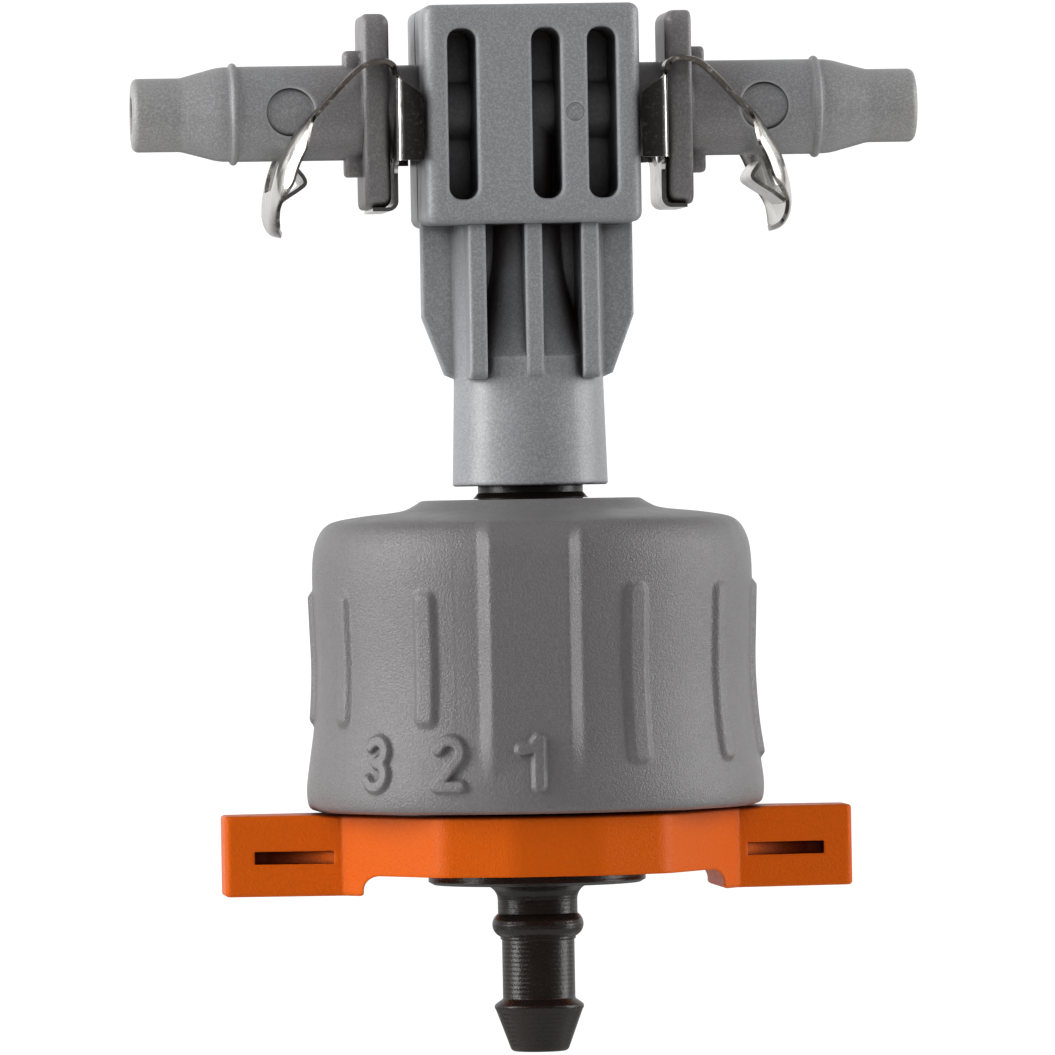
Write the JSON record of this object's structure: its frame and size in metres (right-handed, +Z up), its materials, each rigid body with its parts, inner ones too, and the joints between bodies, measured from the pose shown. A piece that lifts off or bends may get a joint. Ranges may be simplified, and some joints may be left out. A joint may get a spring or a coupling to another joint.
{
  "type": "adjustable drip emitter",
  "caption": "Adjustable pressure-compensating drip emitter on a hose tee, with a turning flow dial, winged holding ring, barbed outlet and sprung hose clips.",
  "frame": {"origin": "tip of the outlet barb, on the vertical axis", "axes": "+Z up along the regulator axis, X along the hose line, -Y the side of the dial's first digit"},
  "size_m": [0.0524, 0.0305, 0.0696],
  "materials": {
    "tee_plastic": "moulded, satin",
    "knob_plastic": "moulded, fine grain",
    "dark_plastic": "moulded, satin",
    "orange_plastic": "moulded, fine grain",
    "clip_steel": "bright spring steel sheet",
    "spring_steel": "spring steel",
    "seal_rubber": "moulded rubber",
    "silicone": "moulded silicone",
    "inner_plastic": "moulded, natural"
  },
  "bodies": {
    "tee": {"tee_body": "tee_plastic", "left_clip_frame": "clip_steel", "right_clip_frame": "clip_steel"},
    "left_arm": {"left_clip_arm": "clip_steel"},
    "right_arm": {"right_clip_arm": "clip_steel"},
    "regulator": {"inlet_stem": "dark_plastic", "stem_seal_ring": "seal_rubber", "upper_housing": "dark_plastic", "housing_seal_ring": "seal_rubber", "metering_gasket": "silicone", "labyrinth_plate": "inner_plastic", "diaphragm": "silicone", "diaphragm_seat": "inner_plastic", "lower_housing": "dark_plastic", "wing_ring": "orange_plastic", "outlet_nipple": "dark_plastic", "outlet_seal_ring": "seal_rubber"},
    "knob": {"regulator_knob": "knob_plastic", "knob_seal_ring": "seal_rubber", "metering_disc": "inner_plastic", "disc_spring": "spring_steel", "retaining_ring": "spring_steel"}
  },
  "joints": [
    {"name": "head_swivel", "type": "hinge", "parent": "tee", "child": "regulator", "pos_m": [0, 0, 0.045], "axis": [0, 0, 1], "continuous": true},
    {"name": "dial_turn", "type": "hinge", "parent": "regulator", "child": "knob", "pos_m": [0, 0, 0.026], "axis": [0, 0, 1], "range_deg": [0, 166.5]},
    {"name": "left_clip_release", "type": "hinge", "parent": "tee", "child": "left_arm", "pos_m": [-0.0089, 0, 0.065], "axis": [0, -1, 0], "range_deg": [0, 18], "stiffness_Nm_per_rad": 0.02},
    {"name": "right_clip_release", "type": "hinge", "parent": "tee", "child": "right_arm", "pos_m": [0.0089, 0, 0.065], "axis": [0, 1, 0], "range_deg": [0, 18], "stiffness_Nm_per_rad": 0.02}
  ]
}
